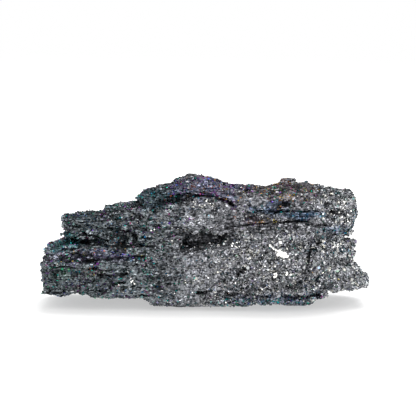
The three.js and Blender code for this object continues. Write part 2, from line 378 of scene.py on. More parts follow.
turn = mixed(tree, coarse_share, *turns, data_type="VECTOR")
facet = vectors(tree, "ADD", node(tree, "ShaderNodeNewGeometry").outputs["Normal"], turn)
tree.links.new(vectors(tree, "NORMALIZE", facet), shader.inputs["Normal"])
# Painted light: a facet turned towards +x is painted brighter, one turned the other way darker.
painted_facet_light = feed(tree, node(tree, "ShaderNodeSeparateXYZ"), turn).outputs[0]
tone_and_shade_at = node(tree, "ShaderNodeAttribute", attribute_name="tone_and_shade").outputs["Fac"]
level = maths(tree, "MULTIPLY", maths(tree, "MULTIPLY_ADD", painted_facet_light, FACET_PAINTED_LIGHT, FACET_MIDDLE), tone_and_shade_at)
shade = feed(tree, node(tree, "ShaderNodeValToRGB"), level)
shade.color_ramp.elements[0].color = STONE_DARK
shade.color_ramp.elements[1].color = STONE_BRIGHT
tint_at = node(tree, "ShaderNodeAttribute", attribute_name="tint").outputs["Color"]
colour = mixed(tree, 1, shade.outputs["Color"], tint_at, data_type="RGBA", blend_type="MULTIPLY")
tree.links.new(colour, shader.inputs["Base Color"])

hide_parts("crystal_mass")
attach(body, "root")

# ------------ the broken leaves
# Thin sheets of the beds, 2 to 10 mm across, which stand out of the beds' edges where the stone broke
# and lie in steps on their tops. They are the same crystal as the body, and grown into it.
LEAF_SIDES = 13
LEAF_SHAPES = 6
LEAF_TAPER = 0.97
LEAF_RAGGEDNESS = 3.6  # the scale of the noise that breaks its outline
LEAF_BITES = (1.1, -0.75)  # it draws in where that noise times the first, plus the second, is under 0
LEAF_CELL = (4.6, 4.6, 0.75)  # the share of the surface that has one leaf
LEAF_RADII = (2.2, 5.0)
LEAF_LEAST = 1.1
LEAF_STANDS = (-0.1, 0.75)  # how far its edge stands out of the body
LEAF_PROBE = 0.5  # how far under its middle it is measured where the surface faces up
LEAF_CLEARANCE = 0.35  # from a parting, which no leaf lies across
LEAF_THICKNESSES = (0.35, 0.75)
LEAF_TILT = (0.05, 0.13, 0)
LEAF_SHADES = (0.75, 1.25)  # how bright each is beside the body
LEAF_BEDDED = 0.4  # the least share of beds, the deepest crevice and the least height that have leaves
LEAF_PARTED = 0.35
LEAF_LOWEST = 1.6
LEAF_OVERHANG = -0.6  # how far down the surface may face there
# Where beds end in a sharp corner: the x of the end and the height of the top half way back.
BED_CORNERS = ((-47.2, 29.6), (-33.3, 32.2), (-22.1, 35.3), (25.7, 41.3))
CORNER_LAYERS = 3
CORNER_LAYER = 0.75  # from one leaf of a corner down to the next
CORNER_TOP = 0.35  # from the bed's top down to the first
CORNER_BACKS = (-19, 15)  # the y over which they lie
CORNER_PITCH = 1.8  # from one to the next, front to back
CORNER_RADIUS = 2.4
CORNER_WIDTH = 2.2  # radii
CORNER_OVERHANG = 1.3  # the most that they stand out of the body
CORNER_STRAYS = (-0.2, 0.4)  # to the side
CORNER_STRAY_UP = 0.15
NEAR_SURFACE = -0.1  # what lies less deep than this in the body counts as out of it

FIELDS = {1: ("FLOAT", "value"), 3: ("FLOAT_VECTOR", "vector"), 4: ("FLOAT_COLOR", "color")}


def store(mesh, name, values):
    """Keeps a number, a direction or a colour for each of a mesh's points."""
    flat = np.asarray(values, np.float32).ravel()
    kind, part = FIELDS[flat.size // len(mesh.vertices)]
    mesh.attributes.new(name, kind, "POINT").data.foreach_set(part, flat)


def drop_fields(mesh):
    """Removes a mesh's working values."""
    for name in [a.name for a in mesh.attributes if a.data_type in ("FLOAT", "FLOAT_VECTOR")]:
        if name != "position":
            mesh.attributes.remove(mesh.attributes[name])


def growth_tree(name, **kinds):
    """A node tree that grows something on a surface, and its inputs."""
    tree = bpy.data.node_groups.new(name, "GeometryNodeTree")
    faces = tree.interface
    faces.new_socket("Geometry", in_out="INPUT", socket_type="NodeSocketGeometry")
    for given, kind in kinds.items():
        faces.new_socket(given, in_out="INPUT", socket_type="NodeSocket" + kind)
    faces.new_socket("Geometry", in_out="OUTPUT", socket_type="NodeSocketGeometry")
    return tree, node(tree, "NodeGroupInput").outputs


def grow_on(thing, tree, settings):
    """Gives an object the mesh that a growth tree makes of its own."""
    names = {s.name: s.identifier for s in tree.interface.items_tree if s.in_out == "INPUT"}
    grow = thing.modifiers.new("growth", "NODES")
    grow.node_group = tree
    for key, value in settings.items():
        grow[names[key]] = value
    grown = evaluated(thing)
    thing.modifiers.remove(grow)
    thing.data = grown
    grown.calc_loop_triangles()
    return grown


def drawn(tree, low, high, seed, data_type="FLOAT"):
    made = feed(tree, node(tree, "FunctionNodeRandomValue", data_type=data_type), Seed=seed)
    want = {"FLOAT": "VALUE", "INT": "INT", "FLOAT_VECTOR": "VECTOR"}[data_type]
    limits = [s for s in made.inputs if s.type == want and s.name in ("Min", "Max")]
    for socket, limit in zip(limits, (low, high)):
        connect(tree, socket, limit)
    return [s for s in made.outputs if s.type == want][0]


def named(tree, name, data_type="FLOAT"):
    return feed(tree, node(tree, "GeometryNodeInputNamedAttribute", data_type=data_type), name).outputs[0]


def turned_to(tree, lie, seed):
    """A rotation that sets Z along a direction, spun at random about it."""
    turned = feed(tree, node(tree, "FunctionNodeAlignRotationToVector", axis="Z"), Vector=lie)
    spin = feed(tree, node(tree, "FunctionNodeAxisAngleToRotation"), Angle=drawn(tree, 0, 2 * math.pi, seed))
    both = node(tree, "FunctionNodeRotateRotation", rotation_space="LOCAL")
    return feed(tree, both, turned.outputs[0], spin.outputs[0]).outputs[0]


def prism(tree, sides, taper, thickness):
    """A flat many-sided plate 1 across, round its own middle."""
    shape = node(tree, "GeometryNodeMeshCone", fill_type="NGON")
    feed(tree, shape, Vertices=sides, Radius_Top=0.5 * taper, Radius_Bottom=0.5, Depth=thickness)
    centred = node(tree, "GeometryNodeTransform")
    feed(tree, centred, Geometry=shape.outputs["Mesh"], Translation=(0, 0, -thickness / 2))
    return centred.outputs[0]


def add_shape(tree, shapes, geometry):
    one = feed(tree, node(tree, "GeometryNodeGeometryToInstance"), geometry)
    tree.links.new(one.outputs[0], shapes.inputs[0])


def end_growth(tree, geometry, finish):
    """Gives what grew its material and hands it out."""
    dressed = feed(tree, node(tree, "GeometryNodeSetMaterial"), Geometry=geometry, Material=finish)
    tree.links.new(dressed.outputs[0], node(tree, "NodeGroupOutput").inputs[0])


def sheet_tree():
    """Sets an irregular sheet on each vertex, as its own across, thick and lie say."""
    tree, given = growth_tree("sheets", Finish="Material")
    shapes = node(tree, "GeometryNodeJoinGeometry")
    for number in range(LEAF_SHAPES):
        outline = node(tree, "GeometryNodeSetPosition")
        tree.links.new(prism(tree, LEAF_SIDES, LEAF_TAPER, 1.0), outline.inputs["Geometry"])
        spot = node(tree, "GeometryNodeInputPosition").outputs[0]
        flat = vectors(tree, "MULTIPLY", spot, (1, 1, 0))
        ragged = node(tree, "ShaderNodeTexNoise")
        own_part = vectors(tree, "ADD", flat, (7.3 * number, 2.1, 0))
        feed(tree, ragged, Vector=own_part, Scale=LEAF_RAGGEDNESS, Detail=1.0)
        bite = maths(tree, "MINIMUM", maths(tree, "MULTIPLY_ADD", ragged.outputs[0], *LEAF_BITES), 0)
        tree.links.new(scaled(tree, flat, bite), outline.inputs["Offset"])
        add_shape(tree, shapes, outline.outputs[0])

    laid = node(tree, "GeometryNodeInstanceOnPoints")
    wide = named(tree, "across")
    proportions = feed(tree, node(tree, "ShaderNodeCombineXYZ"), wide, wide, named(tree, "thick"))
    feed(
        tree, laid, Points=given["Geometry"], Instance=shapes.outputs[0], Pick_Instance=True,
        Instance_Index=drawn(tree, 0, LEAF_SHAPES - 1, 7, "INT"),
        Rotation=turned_to(tree, named(tree, "lie", "FLOAT_VECTOR"), 9),
        Scale=scaled(tree, proportions.outputs[0], MM),
    )
    real = feed(tree, node(tree, "GeometryNodeRealizeInstances"), laid.outputs[0])
    end_growth(tree, real.outputs[0], given["Finish"])
    return tree


sheets = sheet_tree()


def sheets_at(name, spots, across, thick, lies, finish):
    """A piece of sheets, given each one's middle, width and thickness in mm and the way up it lies."""
    marks = bpy.data.meshes.new(name)
    marks.from_pydata([Vector(spot) * MM for spot in spots], [], [])
    for what, values in (("across", across), ("thick", thick), ("lie", lies)):
        store(marks, what, values)
    made = linked(name, marks)
    grown = grow_on(made, sheets, {"Finish": finish})
    drop_fields(grown)
    put_points(grown, vertices_mm(grown))
    return made


place = vertices_mm(body_mesh)
z = place[:, 2]
rough_body = BVHTree.FromPolygons([Vector(p) for p in place], [p.vertices for p in body_mesh.polygons])
leafy = (bedded > LEAF_BEDDED) & (crevice < LEAF_PARTED)
leafy &= (smooth_outward[:, 2] > LEAF_OVERHANG) & (z > LEAF_LOWEST)
TURNS = [Vector((math.cos(turn), math.sin(turn), 0)) for turn in np.arange(12) * math.pi / 6]
rng = np.random.default_rng(3)
taken = set()
spots, across, lies = [], [], []
for number in rng.permutation(np.flatnonzero(leafy)):
    cell = tuple(np.floor((place[number] + (0, 0, warp[number])) / LEAF_CELL).astype(int))
    if cell in taken:
        continue
    taken.add(cell)
    radius = rng.uniform(*LEAF_RADII)
    stand = rng.uniform(*LEAF_STANDS)
    out_x, out_y, out_z = smooth_outward[number]
    middle = Vector(place[number]) - Vector((out_x, out_y, 0)) * (radius - stand)
    # It stands out by no more than its own share, whichever way one looks.
    within = middle - Vector((0, 0, LEAF_PROBE * max(out_z, 0)))
    for turn in TURNS:
        struck, facing, face, reach = rough_body.ray_cast(within, turn)
        if struck is None or facing.dot(turn) < 0:
            radius = 0
            break
        radius = min(radius, reach + stand)
    if radius < LEAF_LEAST:
        continue
    rim = np.array([(middle.x + radius * turn.x, middle.z) for turn in TURNS[:7]])
    crosses = [(off_line(rim, line) < half + LEAF_CLEARANCE).any() for line, depth, half in FRONT_PARTINGS]
    if out_y < 0.1 and any(crosses):
        continue
    spots.append(middle)
    across.append(2 * radius)
    lies.append(np.array((0, 0, 1)) + rng.uniform(-1, 1, 3) * LEAF_TILT)
for end, top in BED_CORNERS:
    for layer in range(CORNER_LAYERS):
        for back in np.arange(*CORNER_BACKS, CORNER_PITCH) + rng.uniform(0, CORNER_PITCH / 2):
            level = top - CORNER_TOP - CORNER_LAYER * layer - BED_DIP * back
            level += rng.uniform(-CORNER_STRAY_UP, CORNER_STRAY_UP)
            middle = Vector((end + CORNER_RADIUS + rng.uniform(*CORNER_STRAYS), back, level))
            # It lies on the stone, and no more of it than its overhang stands out.
            under = middle - Vector((0, 0, 1.5 * CORNER_LAYER))
            nearest, facing, face, gap = rough_body.find_nearest(under)
            if (under - nearest).dot(facing) > NEAR_SURFACE:
                continue
            struck = [rough_body.ray_cast(under, turn)[3] for turn in TURNS if turn.x > -0.6]
            if min(reach or 0 for reach in struck) + CORNER_OVERHANG < CORNER_RADIUS:
                continue
            spots.append(middle)
            across.append(CORNER_WIDTH * CORNER_RADIUS)
            lies.append(np.array((0, BED_DIP, 1)) + rng.uniform(-0.5, 0.5, 3) * LEAF_TILT)
thick = rng.uniform(*LEAF_THICKNESSES, len(spots))
leaves = sheets_at("broken_leaves", spots, across, thick, lies, stone_finish)
leaf_mesh = leaves.data
leaf_shades = np.repeat(rng.uniform(*LEAF_SHADES, len(spots)), 2 * LEAF_SIDES)
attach(leaves, "root")

# ------------ the coloured skin
# A skin thinner than a film of oil lies on the whole stone and all that grew on it, and its thickness
# gives it its colours. They keep to zones along the beds, and between them the stone is grey. Here are
# the zones, and by them the tint and the brightness of the body and of the leaves, with painted shade
# in their crevices and hollows.
ZONE_RAGGED = 0.35
ZONE_FADES = (0.55, 1.15)  # where a zone begins to fade and where it ends, as shares of its reach
ISLANDS_FROM = (-13, 5)  # the y over which zones break up into islands towards the back
ISLANDS = (0.25, 1.3, 13)  # how much smaller they are there, how ragged, and the size of the gaps
FAR = 60  # past the stone on all sides, and so the reach of a zone that runs through to the back
ZONES = {  # a seed, then the middle and the reach of each of its parts
    "cap_sheen": (12, ((0.5, 0, 40.5), (17, FAR, 4.2))),
    "cap_left": (14, ((-16.5, 0, 37), (8.5, FAR, 3.6))),
    "ledge_teal": (15, ((-46.5, -10, 21.9), (7.5, 30, 2.6))),
    "left_mixed": (16, ((-38, 0, 17.8), (17.5, FAR, 2.7))),
    "left_green": (17, ((-46, -8, 11.5), (6.5, 25, 2.8))),
    "left_bronze": (18, ((-36, -8, 13.2), (6, 20, 1.8))),
    "left_dark": (34, ((-37, 0, 25.5), (16, FAR, 4.5))),
    "low_left": (31, ((-40, 0, 9.5), (17, FAR, 6))),
    "brown_hollow": (32, ((-28.5, -10, 19.8), (4, 20, 1.6))),
    "middle_beds": (33, ((-9, -15, 17), (17, 20, 11))),
    "jumbled": (29, ((0, 0, 31.3), (17, 30, 4.2))),
    "bright_brow": (23, ((1, -10, 35.2), (7, 20, 1.8))),
    "pale_slab": (27, ((20.5, 0, 31.6), (7, 30, 1.2))),
    "peak_bronze": (19, ((26, -4, 37.5), (9, 30, 4.5))),
    "bundle_red": (21, ((17, 0, 29.3), (7, FAR, 1.6))),
    "right_blue": (20, ((31.5, 0, 31.3), (8, FAR, 1.9)), ((21, 0, 32.8), (7, FAR, 1.3)),
                   ((23.4, 0, 34.9), (4, FAR, 1.2))),
    "end_blue": (30, ((42.6, 0, 26.4), (6, FAR, 1.5))),
    "foot_blue": (22, ((24, 0, 3.5), (20, FAR, 2.8))),
}
LEFTWARDS = (-6, 34)  # the distance to the left over which the stone turns teal and dim
RIGHT_END = (33, 43)
BRIGHTNESS = 0.685
BRIGHTER = {  # how much brighter the stone is in each zone or growth, or darker under painted shade
    "lumpy": 0.14, "right_end": 0.18, "leftness": -0.19, "shaded": -0.2, "bright_brow": 0.12,
    "pale_slab": 0.15, "ledge_teal": 0.24, "left_mixed": 0.17, "jumbled": -0.05, "left_dark": -0.03,
    "foot_blue": 0.06, "right_blue": -0.28, "end_blue": -0.34, "cap_left": -0.22, "low_left": -0.14,
    "middle_beds": -0.06, "peak_bronze": -0.08,
}
LEAST_TONE = 0.04
BED_STREAKED = 0.38  # how strongly brightness runs in streaks in the beds, and where more or less so
BED_STREAKS = {"leftness": -0.12, "left_dark": 0.15, "foot_blue": 0.15}
LAMINATED = {"right_blue": 1, "bundle_red": 1, "pale_slab": 1, "left_dark": 1, "foot_blue": 0.8}
CLOUDY = 0.34  # how strongly brightness clouds in the lumps
LAMINAR = 0.5  # how much paler and darker laminae are, where there are any
MOTTLED = 0.3  # and the mottles of the cap
CREVICE_PAINTED_SHADE = (0.8, 0.36)  # how much a crevice's painted shade darkens it, and how much less of it at the left
GREY = (0.99, 0.965, 0.975)
LEFT_GREY = (0.89, 0.97, 0.965)
TINT_SHARE = 0.42
TINTS = {
    "cap_sheen": (0.52, 0.56, 1),
    "cap_left": (0.35, 0.72, 0.9),
    "ledge_teal": (0, 0.9, 0.86),
    "left_mixed": (0.78, 0.66, 1),
    "left_green": (0.72, 1, 0.82),
    "left_bronze": (1, 0.85, 0.7),
    "peak_bronze": (1, 0.82, 0.82),
    "right_blue": (0, 0.35, 0.85),
    "bundle_red": (1, 0.7, 0.75),
    "foot_blue": (0.55, 0.64, 1),
    "end_blue": (0.4, 0.6, 0.9),
}

skinned = bmesh.new()
skinned.from_mesh(body_mesh)
skinned.from_mesh(leaf_mesh)
skinned.normal_update()
seedbed_mesh = bpy.data.meshes.new("seedbed")
skinned.to_mesh(seedbed_mesh)
skinned.free()
body_count = len(body_mesh.vertices)
place = vertices_mm(seedbed_mesh)
x, y, z = place.T

# Leaf corners that lie inside the body are bare. In a crevice they get painted shade too, but less.
LEAF_PAINTED_SHADE = 0.4  # the share of the body's painted shade that a leaf takes there
exposed = np.ones(len(place))
shaded = np.zeros(len(place))
shaded[:body_count] = shaded_body
parted = np.zeros(len(place))
parted[:body_count] = crevice
corners = np.array([p.vertices[0] for p in body_mesh.polygons])
for number in range(body_count, len(place)):
    spot = Vector(place[number])
    nearest, facing, face, gap = rough_body.find_nearest(spot)
    exposed[number] = (spot - nearest).dot(facing) > NEAR_SURFACE
    shaded[number] = LEAF_PAINTED_SHADE * shaded_body[corners[face]]
    parted[number] = crevice[corners[face]]
behind = soft_step(y, *ISLANDS_FROM)


def patch(middle, reach, seed):
    """1 in the middle of a zone and 0 past its reach: ragged, and in islands at the back."""
    smaller, ragged, size = ISLANDS
    away = np.sqrt((((place - middle) / reach) ** 2).sum(1)) + ZONE_RAGGED * grain(place, 4, seed)
    away += behind * (smaller + ragged * grain(place, size, seed + 60))
    return 1 - soft_step(away, *ZONE_FADES)


fields = {}
for name, (seed, *parts) in ZONES.items():
    fields[name] = np.maximum.reduce([patch(middle, reach, seed) for middle, reach in parts])
lumpy = lumpy_at(place)
bedded = 1 - lumpy
leftness = soft_step(-x + 3 * grain(place, 12, 24), *LEFTWARDS)
fields.update(lumpy=lumpy, leftness=leftness, shaded=shaded, right_end=soft_step(x, *RIGHT_END))


def shares_of(shares):
    """The sum of some fields, each by its share."""
    return sum(share * fields[name] for name, share in shares.items())


# In the beds brightness runs in streaks, with fine laminae in some, and in the lumps it is cloudy.
streaky = (BED_STREAKED + shares_of(BED_STREAKS)) * bedded * grain(place, (11, 11, 0.85), 43)
clouds = 0.75 * grain(along_ridges(place), (9, 6, 2.4), 44) + 0.5 * grain(place, 2.6, 45)
laminae = np.minimum(shares_of(LAMINATED), 1) * bedded * grain(place, (14, 14, 0.7), 46)
mottles = fields["cap_sheen"] * grain(place, (3, 3, 1.2), 47)
tone_and_shade = BRIGHTNESS + shares_of(BRIGHTER)
tone_and_shade = tone_and_shade * (1 + streaky + CLOUDY * lumpy * clouds + LAMINAR * laminae + MOTTLED * mottles)
# Painted shade darkens the partings and hollows, less so at the left.
dark, less_left = CREVICE_PAINTED_SHADE
tone_and_shade = np.clip(tone_and_shade, LEAST_TONE, 1) * (1 - (dark - less_left * leftness) * np.clip(parted, 0, 1))
tone_and_shade[body_count:] = np.minimum(tone_and_shade[body_count:] * leaf_shades, 1)

tint = np.ones((len(place), 4))
tint[:, :3] = GREY + leftness[:, None] * np.subtract(LEFT_GREY, GREY)
for name, colour in TINTS.items():
    tint[:, :3] += TINT_SHARE * fields[name][:, None] * (np.array(colour) - tint[:, :3])
for mesh, mine in ((body_mesh, slice(0, body_count)), (leaf_mesh, slice(body_count, None))):
    for name, values in (("tone_and_shade", tone_and_shade), ("lumpy", lumpy), ("tint", tint)):
        store(mesh, name, values[mine])
    mesh.materials.clear()
    mesh.materials.append(stone_finish)

# ------------ the crystals
# Small metallic crystals 0.3 to 2 mm across stand all over the stone: in the beds thin plates of five or
# six sides, which lie nearly level, and in the lumps blades and splinters, any way round. Each has a colour
# of its own from the skin. Each finish has a piece of plates and one of blades, or two where they are many.
SPECKS = 3.4  # how much commoner the coloured crystals are than their zones say alone
STREAKS = (5, 5, 1.3)  # the size of the streaks along the beds in which they lie
OUT_OF_STREAKS = 0.12  # how many there are between streaks
COLOURED_LEAST = 0.002
COLOURED = {  # how common each colour is in each zone, after a seed
    "teal": (40, {
        "ledge_teal": 1.6, "cap_left": 0.9, "left_green": 0.8, "right_blue": 0.6, "end_blue": 0.5,
        "foot_blue": 0.4, "left_mixed": 0.15, "leftness": 0.2, "cap_sheen": 0.15, "peak_bronze": 0.25,
    }),
    "violet": (41, {
        "cap_sheen": 0.8, "left_mixed": 1.3, "right_blue": 0.2, "peak_bronze": 0.25, "bundle_red": 0.35,
        "low_left": 0.2, "leftness": 0.12, "foot_blue": 0.2,
    }),
    "bronze": (42, {
        "brown_hollow": 0.5, "left_bronze": 0.6, "peak_bronze": 0.65, "left_mixed": 0.35, "bundle_red": 0.35,
        "cap_sheen": 0.18,
    }),
}
FLECKS = (  # single bright spots of the front: finish, the middle (x, z), half width and height
    ("bronze", (3.6, 40.4), (1.6, 1.1)),
    ("bronze", (7.7, 38.6), (1.5, 0.7)),
    ("bronze", (12.4, 37.1), (1.3, 0.8)),
    ("bronze", (9.4, 30.9), (0.9, 0.9)),
    ("violet", (11, 33.9), (1.9, 1)),
    ("violet", (-4.2, 29.6), (1, 0.7)),
    ("bronze", (-6.9, 26.9), (1.6, 0.5)),
    ("violet", (-30, 18.4), (1.9, 0.9)),
    ("bronze", (-45, 18), (2.6, 0.7)),
    ("teal", (-18.6, 18), (1.7, 1)),
    ("bronze", (-21.1, 18.9), (0.8, 0.6)),
    ("tinted", (-22, 13.1), (1.8, 1.2)),
    ("tinted", (-6.8, 10.8), (2, 1.4)),
    ("teal", (23.4, 34.9), (2, 0.8)),
    ("bronze", (30.3, 40), (1.3, 0.9)),
)
FLECK_SHARE = 0.9
MOST_COLOURED = 0.9  # their most among all, so that steel is among them everywhere
STEEL_IN_BEDS = 0.45  # how much of steel there is there, beside in the lumps
GREYS_IN_BEDS = 0.6  # and of dark and tinted
HUE_DRIFT = (0.55, (7, 7, 2.5))  # how far a hue drifts from the chart's middle, and over what
ZONE_HUES = {  # where on the finishes' charts a zone's colours lie, and how closely they keep to it
    "ledge_teal": (0.56, 0.8),
    "cap_left": (0.4, 0.8),
    "cap_sheen": (0.22, 0.5),
    "right_blue": (0.28, 0.8),
    "end_blue": (0.2, 0.8),
    "foot_blue": (0.25, 0.6),
    "left_green": (0.95, 0.8),
    "peak_bronze": (0.7, 0.4),
}
CRYSTALS_LOWEST = 0.6

weights = {}  # each finish's share of the crystals
clustered = soft_step(grain(place, 3.2, 28), 0.1, 0.6)
blues = np.maximum(fields["right_blue"], 0.8 * fields["end_blue"])
silvers = 0.02 + 0.3 * lumpy * (0.15 + 0.85 * clustered)
weights["silver"] = (silvers + shares_of({"bright_brow": 0.2, "pale_slab": 0.2})) * (1 - blues)
dim = np.maximum.reduce([blues, fields["left_dark"], fields["foot_blue"]])
# Dark crystals are put more thickly where there is painted shade.
weights["dark"] = 0.1 + shares_of({"leftness": 0.1, "shaded": 0.15, "lumpy": 0.1}) + 0.25 * dim
for finish, (seed, shares) in COLOURED.items():
    in_streaks = OUT_OF_STREAKS + (1 - OUT_OF_STREAKS) * soft_step(grain(place, STREAKS, seed), -0.05, 0.55)
    weights[finish] = (COLOURED_LEAST + shares_of(shares)) * SPECKS * in_streaks
for finish in ("teal", "violet"):
    # The pale laminae hold little of these.
    weights[finish] *= 1 - 0.3 * soft_step(laminae, -0.05, 0.35)
weights["tinted"] = 0.06 + shares_of({"leftness": 0.35, "right_blue": 0.25})
weights["tinted"] += 0.2 * np.maximum(fields["cap_sheen"], fields["cap_left"])
weights["tinted"] += 0.2 * np.maximum(fields["foot_blue"], fields["end_blue"])
facing_front = soft_step(-per_point(seedbed_mesh, "normal")[:, 1], 0, 0.4)
for finish, middle, reach in FLECKS:
    near = np.exp(-(((place[:, (0, 2)] - middle) / reach) ** 2).sum(1))
    weights[finish] += FLECK_SHARE * facing_front * near
total = sum(weights.values())
for finish in weights:
    weights[finish] *= np.where(total > MOST_COLOURED, MOST_COLOURED / total, 1)
weights["steel"] = (1 - sum(weights.values())) * (lumpy + STEEL_IN_BEDS * bedded)
weights["steel"] *= 1 - 0.7 * fields["ledge_teal"]
for grey in ("dark", "tinted"):
    weights[grey] *= lumpy + GREYS_IN_BEDS * bedded

drift, size = HUE_DRIFT
hue_at = np.clip(0.5 + drift * grain(place, size, 26), 0, 1)
for name, (hue, held) in ZONE_HUES.items():
    hue_at += held * fields[name] * (hue - hue_at)
lean = [0.25 * grain(place, (4, 4, 1), 50), 0.4 * grain(place, (4, 4, 1), 51), np.zeros(len(place))]
order = 1 - 0.75 * fields["jumbled"]
for name, values in (("order", order), ("hue_at", hue_at), ("tone_and_shade", tone_and_shade), ("lean", np.stack(lean, 1))):
    store(seedbed_mesh, name, values)

SHAPES = (  # sides, the top's width by the bottom's, thickness, breadth: plates first, then blades
    (6, 0.92, 0.15, 0.85),
    (6, 0.85, 0.2, 0.7),
    (5, 0.9, 0.17, 0.9),
    (4, 0.6, 0.2, 0.4),
    (3, 0.5, 0.26, 0.5),
    (4, 0.8, 0.14, 0.8),
    (3, 0.4, 0.4, 0.6),
)


def stored(tree, geometry, name, value, **values):
    kept = node(tree, "GeometryNodeStoreNamedAttribute", **values)
    return feed(tree, kept, Geometry=geometry, Name=name, Value=value).outputs[0]


def crystal_tree():
    sizes = ("Gap", "Density", "Size", "Disorder", "Upright", "Stand", "Brightness")
    kinds = {**dict.fromkeys(sizes, "Float"), **dict.fromkeys(("Seed", "First", "Last"), "Int")}
    tree, given = growth_tree("crystal_growth", **kinds, Finish="Material")

    # Points all over the surface, as thick as its own density says.
    points = node(tree, "GeometryNodeDistributePointsOnFaces", distribute_method="POISSON")
    feed(
        tree, points, Mesh=given["Geometry"], Distance_Min=given["Gap"], Density_Max=given["Density"],
        Density_Factor=named(tree, "density"), Seed=given["Seed"],
    )
    normal = points.outputs["Normal"]

    # This piece's own share of them.
    lot = drawn(tree, 0, 1, 3)
    low = maths(tree, "GREATER_THAN", named(tree, "share_from"), lot)
    high = maths(tree, "LESS_THAN", named(tree, "share_to"), lot)
    others = maths(tree, "GREATER_THAN", maths(tree, "ADD", low, high), 0.5)
    share = node(tree, "GeometryNodeDeleteGeometry", domain="POINT")
    feed(tree, share, Geometry=points.outputs["Points"], Selection=others)

    # Size, mostly small with a few large, and how far out of the stone it stands.
    long_tail = maths(tree, "MULTIPLY_ADD", maths(tree, "POWER", drawn(tree, 0, 1, 4), 3.0), 1.0, 0.7)
    size = maths(tree, "MULTIPLY", given["Size"], long_tail)
    out = maths(tree, "MULTIPLY", maths(tree, "ADD", given["Stand"], drawn(tree, -0.25, 0.25, 5)), size)
    raised = node(tree, "GeometryNodeSetPosition")
    feed(tree, raised, Geometry=share.outputs[0], Offset=scaled(tree, scaled(tree, normal, out), MM))

    # Its lie: level in the beds but leaning with its neighbours, any way round in the lumps.
    upright = maths(tree, "MULTIPLY", given["Upright"], named(tree, "order"))
    level = feed(tree, node(tree, "ShaderNodeCombineXYZ"), 0, 0, upright)
    lie = vectors(tree, "ADD", scaled(tree, normal, 0.25), level.outputs[0])
    leaning = scaled(tree, named(tree, "lean", "FLOAT_VECTOR"), upright)
    stray = scaled(tree, drawn(tree, (-1, -1, -1), (1, 1, 1), 6, "FLOAT_VECTOR"), given["Disorder"])
    lie = vectors(tree, "ADD", vectors(tree, "ADD", lie, leaning), stray)

    shapes = node(tree, "GeometryNodeJoinGeometry")
    for sides, taper, thickness, breadth in SHAPES:
        narrowed = node(tree, "GeometryNodeTransform")
        feed(tree, narrowed, Geometry=prism(tree, sides, taper, thickness), Scale=(1, breadth, 1))
        spot = node(tree, "GeometryNodeInputPosition").outputs[0]
        kind = {"data_type": "FLOAT_VECTOR", "domain": "POINT"}
        add_shape(tree, shapes, stored(tree, narrowed.outputs[0], "spot", spot, **kind))

    proportions = drawn(tree, (0.8, 0.8, 0.75), (1.3, 1.2, 1.3), 9, "FLOAT_VECTOR")
    grown = node(tree, "GeometryNodeInstanceOnPoints")
    feed(
        tree, grown, Points=raised.outputs[0], Instance=shapes.outputs[0], Pick_Instance=True,
        Instance_Index=drawn(tree, given["First"], given["Last"], 8, "INT"),
        Rotation=turned_to(tree, lie, 7), Scale=scaled(tree, scaled(tree, proportions, size), MM),
    )

    # Its place on the finish's chart: the hue along it and the brightness up it.
    hue = maths(tree, "MULTIPLY_ADD", drawn(tree, -0.5, 0.5, 10), 0.55, named(tree, "hue_at"))
    hue = maths(tree, "MINIMUM", maths(tree, "MAXIMUM", hue, 0.04), 0.96)
    # The crystal's brightness takes the stone's tone and painted shade where it stands.
    bright = maths(tree, "MULTIPLY", named(tree, "tone_and_shade"), given["Brightness"])
    bright = maths(tree, "MINIMUM", maths(tree, "MULTIPLY", bright, drawn(tree, 0.2, 1, 11)), 0.97)
    last = grown.outputs[0]
    for name, value in (("hue", hue), ("bright", bright)):
        last = stored(tree, last, name, value, data_type="FLOAT", domain="INSTANCE")
    real = feed(tree, node(tree, "GeometryNodeRealizeInstances"), last)
    chart = feed(tree, node(tree, "ShaderNodeCombineXYZ"), named(tree, "hue"), named(tree, "bright"))
    near = vectors(tree, "ADD", chart.outputs[0], scaled(tree, named(tree, "spot", "FLOAT_VECTOR"), 0.01))
    mapped = stored(tree, real.outputs[0], "OFBake", near, data_type="FLOAT2", domain="CORNER")
    end_growth(tree, mapped, given["Finish"])
    return tree


CHART_DARK = (0.004, 0.0045, 0.006, 1)


def crystal_finish(name, colours, roughness):
    """A metallic finish that reads the crystals' chart: colours along it, brightness up it."""
    made, tree, shader = principled(name, Metallic=1.0, Roughness=roughness)
    chart = node(tree, "ShaderNodeUVMap", uv_map="OFBake")
    split = feed(tree, node(tree, "ShaderNodeSeparateXYZ"), chart.outputs[0])
    ramp = feed(tree, node(tree, "ShaderNodeValToRGB"), split.outputs[0])
    stops = ramp.color_ramp.elements
    while len(stops) < len(colours):
        stops.new(0.5)
    for i, colour in enumerate(colours):
        stops[i].position = i / (len(colours) - 1)
        stops[i].color = (*colour, 1)
    colour = mixed(tree, split.outputs[1], CHART_DARK, ramp.outputs[0], data_type="RGBA")
    tree.links.new(colour, shader.inputs["Base Color"])
    return made


